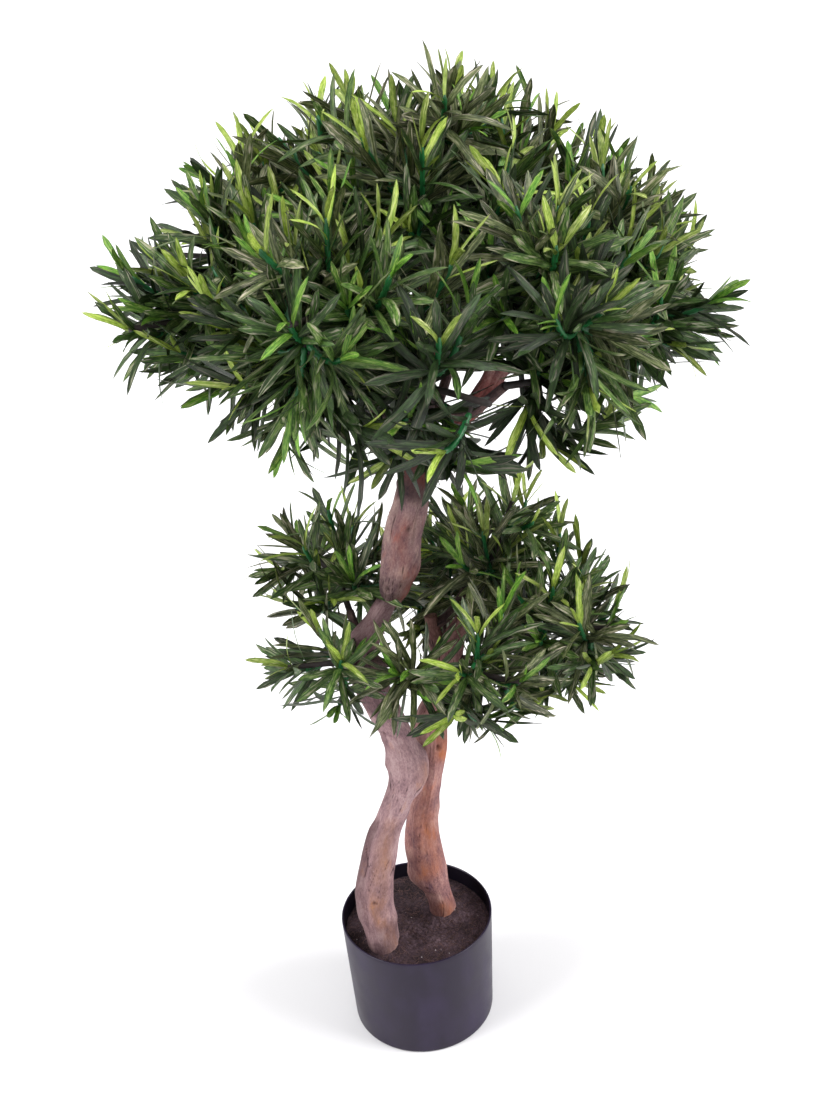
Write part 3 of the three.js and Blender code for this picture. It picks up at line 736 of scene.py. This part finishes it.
def boughPiece():
    # One tapering limb for each mass, apart from the top one, which the leader itself bears.
    limbs, names = [], []
    for k, mass in enumerate(masses):
        mass["bough"] = mass["limb"] if mass["start"] == 1 else boughStations(mass)
        mass["boughTip"] = mass["bough"][-1, :3]
        if mass["start"] != 1:
            limbs.append({**bough, "stations": mass["bough"], "seed": bough["seed"] + bough["seedStep"] * k})
            names.append("bough_" + mass["name"])
    woodPiece("boughs", limbs, woodMaterial("boughWood", *bough["wood"]), names)


boughPiece()
limbs = [limb["stations"] for limb in stems.values()] + [mass["bough"] for mass in masses]
limbSteps = np.linspace(0, 1, bough["samples"])
limbSamples = np.vstack([np.column_stack(spline(limb, limbSteps)[::2]) for limb in limbs])


def clearance(p):
    # Distance from points to the nearest limb's surface, from samples of every limb.
    return (norm(p[..., None, :] - limbSamples[:, :3]) - limbSamples[:, 3]).min(-1)


spray = {
    "room": 30, "sag": (0.18, 0.52), "sagAt": 0.55, "blend": 10,
    "search": (10, -3),  # a tip is sought from its mass's reach inwards to 10 mm, in steps of 3 mm
    # Finer sprays: how far round the outward axis their tips fan, where on a twig they leave it, the turn of
    # the first layer and of each one after it, the power that favours the outside, and how much deeper than
    # asked a tip may lie. Layers for the upper crown (True) and the low one: tries for each mass, the depth
    # they ask for in the crown, how far they stand apart.
    "fineSpan": 1.9, "fineFrom": 0.5, "fineTurn": (60, 40), "outerMore": 1.6, "depthSlack": 3,
    "layers": {
        True: [(70, (20, 60), 42), (50, (56, 108), 31)],
        False: [(60, (20, 46), 35), (30, (46, 80), 34)],
    },
    # Each kind of bare twig: radius at foot and tip, rings, sides, and how much of its last ring is left.
    "massStems": ((3.4, 2.6), 16, 8, 1), "twigs": ((2.4, 1.8), 12, 6, 0.3),
    "fineTwigs": ((1.8, 1.5), 12, 6, 0.3), "twigColour": "#2e2625",
    "shootRadius": (2.6, 2.2), "shootRings": 22, "shootSides": 6, "shootEnd": 0.35, "swell": 0.15,
    "shootColour": "#1a5c2f", "sleeve": (76, 0.92),  # its length, and at most this share of the twig
    "leafy": (72, 0.9), "firstLeaf": 0.02,  # the stretch that bears leaves, in the same way
    "leaves": {True: 20, False: 16}, "young": 4,
    "openBase": 52, "openTip": 18, "openEase": 1.3, "openSpread": 11, "turnSpread": 16,
    # What a leaf tries before it is skipped: shares of its length, turns round the shoot. It stays clear of
    # the limbs, within its own slack of the crown's outline, and this far proud of the solids' box.
    "scales": (1, 0.86, 0.72), "shifts": (0, 30, -30, 60), "clear": 1.0, "slack": (-2, 10), "proud": 12,
    "probes": (0.35, 0.7, 1.0),  # where along it this is tested; a twig's own places and distance follow
    "twigProbes": (0.3, 1, 8), "twigClear": 3.0,
}
leaf = {
    "length": (54, 70), "youngLength": (38, 54), "width": (6.4, 8.2), "youngWidth": (4.8, 6.2),
    "stations": (0, 0.1, 0.25, 0.44, 0.64, 0.81, 0.93, 1), "stalk": 0.2, "pointed": 0.6, "closing": 5,
    "thickness": 0.55, "rib": 0.35, "trough": (-0.05, 0.35), "arch": (0.0, 0.5), "flatMore": 1.8,
    "droop": 0.05, "sway": 0.07, "jag": 0.09, "roll": 24, "widening": (-0.14, 0.3),
}
# Colours from deep to light, the cream that shows where the print runs thin, and the share of the sprays.
leafKinds = {
    # The inner kind's darkest greens are painted shade, mostly dealt to the sprays deep in the crown.
    "leavesShadedInner": ("#0b1506", "#1b2d0e", "#385128", "#6d6a5b", 0.24),
    "leavesDark": ("#0f1c07", "#263f14", "#4d6c31", "#a39e8a", 0.27),
    "leavesMid": ("#132409", "#315019", "#6a8042", "#b0aa90", 0.27),
    "leavesOlive": ("#1b240f", "#414f25", "#80855c", "#c2b8a2", 0.22),
    "leavesBright": ("#234a0c", "#4c8021", "#86a844", "#b3bf74", 0),
    "leavesFresh": ("#4f6b17", "#88a438", "#b8c763", "#d6da9a", 0),
}
dealing = {
    "parting": 700,  # roots above this belong to the upper crown
    "upper": (780, 240), "low": (400, 180),  # where each crown begins and how far up it goes on
    "inside": (85, 125), "lowInside": 0.5,  # depths from outside to inside, and what they count for low down
    "litHighWeighs": 0.8, "shadedInsideWeighs": 1.6,  # painted light for height and painted shade for depth, each against a lot between 0 and 1
    "fresh": (0.5, 0.25), "youngInside": 0.3,  # the share of fresh tips and what height adds; none past this
}


def turnTo(way):
    # The rotation that takes +Z to way by the shortest turn: I + K + K^2 / (1 + cosine), K from z x way.
    x, y, _ = np.cross(upward, way)
    k = np.array([[0, 0, y], [0, 0, -x], [-y, x, 0]])
    return np.eye(3) + k + k @ k / (1 + way[2])


def fanOut(mass, index, count, span, offset=0):
    # Directions on a golden spiral about the outward axis: cosine falls evenly, the turn is 137.5 degrees.
    i = np.arange(count)
    cosine = 1 - (i + 0.5) / count * span
    turn = np.radians(i * crown["goldenTurn"] + index * crown["turnEach"] + offset)
    sine = np.sqrt(1 - cosine ** 2)
    spread = np.stack([np.cos(turn) * sine, np.sin(turn) * sine, cosine], -1)
    return spread @ turnTo(unit(mass["centre"] - mass["core"])).T


def placeTips(mass, spread, depthIn, room):
    # Each tip lies as far out as leaves room for its leaves; room is one distance or a column of them.
    way = unit(spread + upward * crown["lift"])
    steps = np.arange(mass["reach"], *spray["search"])
    tries = mass["centre"] + way[:, None] * steps[:, None]
    fits = depthIn(mass, tries) >= room
    first = np.where(fits.any(1), fits.argmax(1), len(steps) - 1)
    return tries[np.arange(len(way)), first]


def bezier(paths, t):
    # (1 - t)^2 a + 2 t (1 - t) b + t^2 c and its unit tangent, paths (..., 3 points, 3) and t (..., n).
    a, b, c = (paths[..., k, None, :] for k in range(3))
    t = t[..., None]
    return (1 - t) ** 2 * a + 2 * t * (1 - t) * b + t ** 2 * c, unit((1 - t) * (b - a) + t * (c - b))


def shootPaths(start, tip, draw):
    # A shoot sags below the straight line, each by a share of its own length, so its end turns upwards.
    sag = draw.uniform(*spray["sag"], (len(tip), 1))
    middle = lerp(start, tip, spray["sagAt"]) - upward * norm(tip - start)[:, None] * sag
    return np.stack([start, middle, tip], -2)


def placeFineTips(mass, index, taken):
    # Layer by layer, tries on a golden spiral, each as deep in the crown as its own draw asks, are kept one
    # after another where they stand apart from every tip before; so some stick out and others fill in behind.
    draw = seeded(700 + index)
    kept = []
    for layer, (tries, depth, apart) in enumerate(spray["layers"][mass["upper"]]):
        room = lerp(*depth, draw.random((tries, 1)) ** spray["outerMore"])
        offset = spray["fineTurn"][0] + spray["fineTurn"][1] * layer
        tips = placeTips(mass, fanOut(mass, index, tries, spray["fineSpan"], offset), depthInCrown, room)
        for tip in draw.permutation(tips[depthInCrown(mass, tips) < depth[1] + spray["depthSlack"]]):
            if norm(np.array(taken) - tip).min() > apart:
                kept.append(tip)
                taken.append(tip)
    return np.array(kept).reshape(-1, 3)


def growMass(mass, index, taken):
    # The mass's stem, its twigs one after another along it, and finer twigs that leave the nearest twig. A
    # twig that meets an opening is left out, and a finer one that meets a limb too.
    tips = mass["tips"]
    bend = lerp(mass["centre"], mass["boughTip"], crown["stemBend"])
    (foot, end), rings = spray["massStems"][:2]
    stations = np.column_stack([[mass["boughTip"], bend, tips[0]], np.linspace(foot, end, 3)])
    share = np.where(np.arange(len(tips)) > 0, 1 - np.arange(len(tips)) / mass["sprays"], 1)
    draw = seeded(900 + index)
    twigs = shootPaths(spline(stations, crown["startSpan"] * share)[0], tips, draw)
    fineTips = placeFineTips(mass, index, taken)
    bearer = norm(fineTips[:, None] - tips).argmin(1)
    fine = shootPaths(bezier(twigs[bearer], np.array([spray["fineFrom"]]))[0][:, 0], fineTips, draw)
    twigs, fine = (paths[~inOpening(places).any(-1) & (clearance(places).min(-1) > least)]
                   for paths, least in ((twigs, -np.inf), (fine, spray["twigClear"]))
                   for places in [bezier(paths, np.linspace(*spray["twigProbes"]))[0]])
    return spline(stations, np.linspace(0, 1, rings))[0], twigs, fine


def shootSpan(shoots, stretch, share):
    # Where on each shoot its leafy end begins and goes on: 1 - min(length / reach, most) (1 - share).
    length, most = stretch
    return 1 - np.minimum(length / norm(shoots[:, 2] - shoots[:, 0])[:, None], most) * (1 - share)


def sprayLeaves(mass, index, shoots):
    # Root, direction, face and length of every leaf on these shoots: roots climb the leafy stretch in a
    # spiral, opening from wide at its foot to narrow at its tip; a leaf that leaves the crown's space or
    # meets a limb is shortened or turned, and at last skipped.
    draw = seeded(300 + index)
    each = spray["leaves"][mass["upper"]]
    k, full = np.arange(each), (len(shoots), each)
    share = k / (each - 1)
    root, axis = bezier(shoots, shootSpan(shoots, spray["leafy"], lerp(spray["firstLeaf"], 1, share)))
    young = np.broadcast_to(k >= each - spray["young"], full)
    length, width = (np.where(young, draw.uniform(*leaf[small], full), draw.uniform(*leaf[large], full))
                     for small, large in (("youngLength", "length"), ("youngWidth", "width")))
    opened = np.radians(lerp(spray["openBase"], spray["openTip"], share ** spray["openEase"])
                        + draw.normal(0, spray["openSpread"], full))
    turn = np.radians(k * crown["goldenTurn"] + draw.uniform(0, 360, (len(shoots), 1))
                      + draw.normal(0, spray["turnSpread"], full))
    across = unit(np.cross(axis, np.where(np.abs(axis[..., 2:]) > 0.9, [1.0, 0, 0], upward)))
    other = np.cross(axis, across)
    slack = draw.uniform(*spray["slack"], full)
    lowest, highest = (np.array(corner) / mm + side * spray["proud"] for corner, side in zip(cadBox, (-1, 1)))
    way, placed = np.zeros_like(root), np.zeros(full, bool)
    for scale, shift in itertools.product(spray["scales"], spray["shifts"]):
        a = (turn + np.radians(shift))[..., None]
        side = across * np.cos(a) + other * np.sin(a)
        aimed = axis * np.cos(opened)[..., None] + side * np.sin(opened)[..., None]
        out = (length * scale)[..., None, None] * np.array(spray["probes"])[:, None]
        probes = root[..., None, :] + aimed[..., None, :] * out
        fits = ~placed & (depthInCrown(mass, probes[..., -1, :]) > -slack) & ~inOpening(probes).any(-1)
        fits &= ((probes > lowest) & (probes < highest)).all((-1, -2))
        fits &= clearance(probes).min(-1) > spray["clear"]
        way[fits] = aimed[fits]
        length[fits] *= scale
        placed |= fits
    face = unit(axis - way * (axis * way).sum(-1, keepdims=True))
    own = 1000 * index + np.arange(len(shoots))[:, None] + 0 * k
    found = {"root": root, "way": way, "face": face, "length": length, "width": width, "young": young,
             "depth": depthInCrown(mass, root), "spray": own}
    return {key: value[placed] for key, value in found.items()}


def leafShells(leaves, seed):
    # Each blade: a centre line root + s L (way - arch s face) that droops and sways, nearly parallel edges
    # that close in (1 - s)^pointed to a point, and a section of edge, rib, edge and underside.
    draw = seeded(seed)
    n = len(leaves["root"])
    s = np.array(leaf["stations"])[:, None]
    roll = np.radians(draw.normal(0, leaf["roll"], (n, 1)))
    way, face = leaves["way"], leaves["face"]
    side = np.cross(way, face)
    face, side = face * np.cos(roll) + side * np.sin(roll), side * np.cos(roll) - face * np.sin(roll)
    way, face, side = way[:, None], face[:, None], side[:, None]
    length = leaves["length"][:, None, None]
    arch = lerp(*leaf["arch"], draw.random((n, 1, 1)) ** leaf["flatMore"])
    sway = draw.normal(0, leaf["sway"], (n, 1, 1))
    flat = np.hypot(way[..., 0], way[..., 1])[..., None]
    line = way * s - face * arch * s ** 2 + side * sway * s ** 2 - upward * leaf["droop"] * flat * s ** 2
    line = leaves["root"][:, None] + line * length
    shape = smooth(*leaf["widening"], s) * np.minimum(1, (1 - s) * leaf["closing"]) ** leaf["pointed"]
    shape = np.maximum(shape, leaf["stalk"] * (1 - s))
    half = leaves["width"][:, None, None] / 2 * shape
    ragged = 1 + draw.normal(0, leaf["jag"], (n, len(s), 2))
    trough = draw.uniform(*leaf["trough"], (n, 1, 1))
    left = line - side * half * ragged[..., :1] + face * half * trough
    right = line + side * half * ragged[..., 1:] + face * half * trough
    thin = leaf["thickness"] / 2
    top = line + face * (thin + leaf["rib"] * (1 - s))
    under = line - face * thin
    return np.stack([left, under, right, top], 2)


def leafPlaces(count, seed):
    # For every point: across the blade (0, 0.5, 1 at edge, rib, edge), along it, and the leaf's own number.
    v = np.array(leaf["stations"])[:, None]
    own = seeded(seed).random((count, 1, 1))
    return np.stack(np.broadcast_arrays([0, 0.5, 1, 0.5], v, own), -1)


def leafMaterial(name, deep, blade, light, cream):
    # Printed polyester cloth pressed over a rib: streaks run lengthwise from deep to light green, some blades
    # fade to cream towards the tip, and a faint weave and veins break up the satin gloss.
    material, add, shader = newMaterial(name + "Polyester", 0.42, 0.4)
    place = add("Attribute", attribute_name="leafPlace").outputs["Vector"]
    across, along, own = add("SeparateXYZ", {"Vector": place}).outputs
    off = add("Math", {0: across, 1: 0.5}, operation="SUBTRACT")
    off = add("Math", {0: off}, operation="ABSOLUTE")
    streaks, mottle, thin = (
        add("TexNoise", {"Vector": add("Mapping", {"Vector": place, "Scale": stretch}), "Scale": 1.0,
                         "Detail": detail, "Roughness": rough})
        for stretch, detail, rough in (((9, 1.4, 90), 3, 0.6), ((4, 8, 50), 4, 0.65), ((4, 3, 300), 2, 0.7)))
    both = add("Math", {0: streaks, 1: mottle}, operation="ADD")
    half = add("Math", {0: both, 1: 0.5}, operation="MULTIPLY")
    tone = add("ValToRGB", {"Fac": half}, stops=[(0.38, deep), (0.49, blade), (0.6, light)])
    shade = add("MapRange", {0: own}, ends=(0, 1, 0.5, 1.45))
    margin = add("MapRange", {0: off}, ends=(0.3, 0.5, 1.05, 0.62))
    shade = add("Math", {0: shade, 1: margin}, operation="MULTIPLY")
    tone = add("HueSaturation", {"Color": tone, "Value": shade})
    # Where the print runs thin the pale cloth shows: narrow streaks on some blades, stronger to the tip.
    creamy = add("MapRange", {0: thin}, ends=(0.56, 0.66, 0, 1))
    towards = add("MapRange", {0: along}, ends=(0.1, 0.9, 0.2, 0.95))
    creamy = add("Math", {0: creamy, 1: towards}, operation="MULTIPLY")
    rib = add("MapRange", {0: off}, ends=(0.02, 0.08, 0.35, 0))
    for share, code in ((creamy, cream), (rib, light)):
        tone = add("Mix", {0: share, 6: tone, 7: linear(code)}, data_type="RGBA").outputs[2]
    veins = add("Math", {0: across, 1: 60.0}, operation="MULTIPLY")
    veins = add("Math", {0: veins}, operation="SINE")
    weave = add("Math", {0: veins, 1: 0.3, 2: mottle}, operation="MULTIPLY_ADD")
    bump = add("Bump", {"Height": weave, "Strength": 0.5, "Distance": 0.0008})
    wire(shader, {"Base Color": tone, "Normal": bump})
    return material


def growCrown():
    # Every mass's stem, twigs and finer twigs, and the leaves on them.
    for index, mass in enumerate(masses):
        spread = fanOut(mass, index, mass["sprays"], crown["fanSpan"])
        mass["tips"] = placeTips(mass, spread, depthInside, spray["room"])
    taken = [tip for mass in masses for tip in mass["tips"]]
    stemPaths, twigs, fine = zip(*(growMass(mass, index, taken) for index, mass in enumerate(masses)))
    leaves = joined([sprayLeaves(mass, index, np.concatenate([twigs[index], fine[index]]))
                     for index, mass in enumerate(masses)])
    return np.array(stemPaths), np.concatenate(twigs), np.concatenate(fine), leaves


def twigPieces(stemPaths, twigs, fine):
    # Wire wrapped in dark tape, tapering to the tip.
    material = plainMaterial("wrappedWireTwig", spray["twigColour"], 0.7, 0.35, 8)
    for name, paths in (("massStems", stemPaths), ("twigs", twigs), ("fineTwigs", fine)):
        ends, rings, sides, last = spray[name]
        if name != "massStems":
            paths = bezier(paths, np.linspace(0, 1, rings))[0]
        radii = np.linspace(*ends, rings)[:, None]
        radii[-1] *= last
        piece(name, tubes(paths, radii, sides), material)


def shootPiece(shoots):
    # Polyethylene sleeves over the leafy ends, moulded in one green, beaded and left glossy.
    rings = spray["shootRings"]
    bead = 1 + spray["swell"] * np.where(np.arange(rings) % 2, 1, -1)
    radii = (np.linspace(*spray["shootRadius"], rings) * bead)[:, None]
    radii[-1] *= spray["shootEnd"]
    paths = bezier(shoots, shootSpan(shoots, spray["sleeve"], np.linspace(0, 1, rings)))[0]
    material = plainMaterial("polyethyleneShoot", spray["shootColour"], 0.38, 0.3, 9, specular=0.5)
    piece("greenShoots", tubes(paths, radii, spray["shootSides"]), material)
    print(len(shoots), "sprays")


def dealKinds(leaves):
    # Kinds are dealt by spray: partly by lot, partly by how high and how far out the spray stands in its
    # crown, so the lighter kinds lie higher and outside and the darker ones deep inside, as painted light and
    # shade; the shares cut that ranking. A spray's youngest leaves are bright or fresh instead, but not deep
    # inside.
    draw = seeded(77)
    sprays, which, size = np.unique(leaves["spray"], return_inverse=True, return_counts=True)
    height = np.bincount(which, leaves["root"][:, 2]) / size
    depth = np.bincount(which, leaves["depth"]) / size
    upper = height > dealing["parting"]
    high = np.where(upper, *((height - start) / span for start, span in (dealing["upper"], dealing["low"])))
    inner = smooth(*dealing["inside"], depth) * np.where(upper, 1, dealing["lowInside"])
    # Height adds painted light and depth adds painted shade to each spray's lot.
    score = draw.random(len(sprays)) + dealing["litHighWeighs"] * high - dealing["shadedInsideWeighs"] * inner
    rank = np.argsort(np.argsort(score)) / len(sprays)
    kinds = list(leafKinds)
    sprayKind = np.searchsorted(np.cumsum([leafKinds[kind][-1] for kind in kinds]), rank, side="right")
    fresh = draw.random(len(sprays)) < dealing["fresh"][0] + dealing["fresh"][1] * high
    youngKind = np.where(fresh, kinds.index("leavesFresh"), kinds.index("leavesBright"))
    youngShows = leaves["young"] & (inner < dealing["youngInside"])[which]
    return np.where(youngShows, youngKind[which], sprayKind[which])


def leafPieces(leaves):
    # Each kind's leaves joined into one piece; the dark ones stand for all the solid masses.
    chosen = dealKinds(leaves)
    for k, (name, (*colours, _)) in enumerate(leafKinds.items()):
        shells = leafShells({key: value[chosen == k] for key, value in leaves.items()}, 500 + k)
        nodes = ["foliage_" + mass["name"] for mass in masses] if name == "leavesDark" else ()
        piece(name, shells, leafMaterial(name, *colours), nodes,
              {"leafPlace": leafPlaces(len(shells), 600 + k)}, creases=(0, 2, 3))
        print(f"{name}: {len(shells)} leaves")


stemPaths, twigs, fine, leaves = growCrown()
twigPieces(stemPaths, twigs, fine)
shootPiece(np.concatenate([twigs, fine]))
leafPieces(leaves)

studio = {
    "floor": "#ecebed", "floorSize": 120, "sky": "#ffffff", "skyStrength": 0.35, "lampDistance": 3,
    # name: (towards the light, angle it fills in degrees, strength), as broad as softboxes
    "lights": {
        "left": ((-1.0, -0.35, 0.7), 34, 2.5), "right": ((1.0, -0.25, 0.7), 34, 2.9),
        "top": ((0.05, 0.1, 1.0), 50, 1.7), "front": ((0.1, -1.0, 0.45), 60, 0.4),
    },
}
camera = {"place": (0.025, -1.14, 1.149), "pitch": 26.1, "roll": -4.62, "lens": 42.70, "sensor": 36}


def floorPiece():
    # A wide square at z = 0, matt and pale as seamless studio paper is.
    half = studio["floorSize"] / 2
    mesh = bpy.data.meshes.new("floor")
    corners = [(x * half, y * half, 0) for x, y in ((-1, -1), (1, -1), (1, 1), (-1, 1))]
    mesh.from_pydata(corners, [], [(0, 1, 2, 3)])
    material, _, shader = newMaterial("paleMattFloor", 0.9, 0.1)
    wire(shader, {"Base Color": linear(studio["floor"])})
    mesh.materials.append(material)
    put("floor", mesh)


def lightScene():
    # A pale sky and four broad suns; each lamp's back is the way towards its light.
    world = bpy.data.worlds.new("studio")
    world.use_nodes = True
    background = world.node_tree.nodes["Background"]
    wire(background, {"Color": linear(studio["sky"]), "Strength": studio["skyStrength"]})
    bpy.context.scene.world = world
    for name, (towards, broad, strength) in studio["lights"].items():
        data = bpy.data.lights.new(name, "SUN")
        data.angle, data.energy = np.radians(broad), strength
        back = unit(np.array(towards))
        side = unit(np.cross(upward, back))
        put(name, data, (side, np.cross(back, side), back, back * studio["lampDistance"]))
    bpy.context.scene.view_settings.view_transform = "Standard"


def makeCamera():
    # Looks along +Y, pitched down, then rolled about its own axis.
    data = bpy.data.cameras.new("camera")
    data.lens, data.sensor_width = camera["lens"], camera["sensor"]
    pitch, roll = np.radians(camera["pitch"]), np.radians(camera["roll"])
    ahead = np.array([0, np.cos(pitch), -np.sin(pitch)])
    side = np.array([1.0, 0, 0])
    over = np.cross(side, ahead)
    rolledSide = side * np.cos(roll) + over * np.sin(roll)
    rolledOver = over * np.cos(roll) - side * np.sin(roll)
    bpy.context.scene.camera = put("camera", data, (rolledSide, rolledOver, -ahead, camera["place"]))


floorPiece()
lightScene()
makeCamera()
print("studio ready")
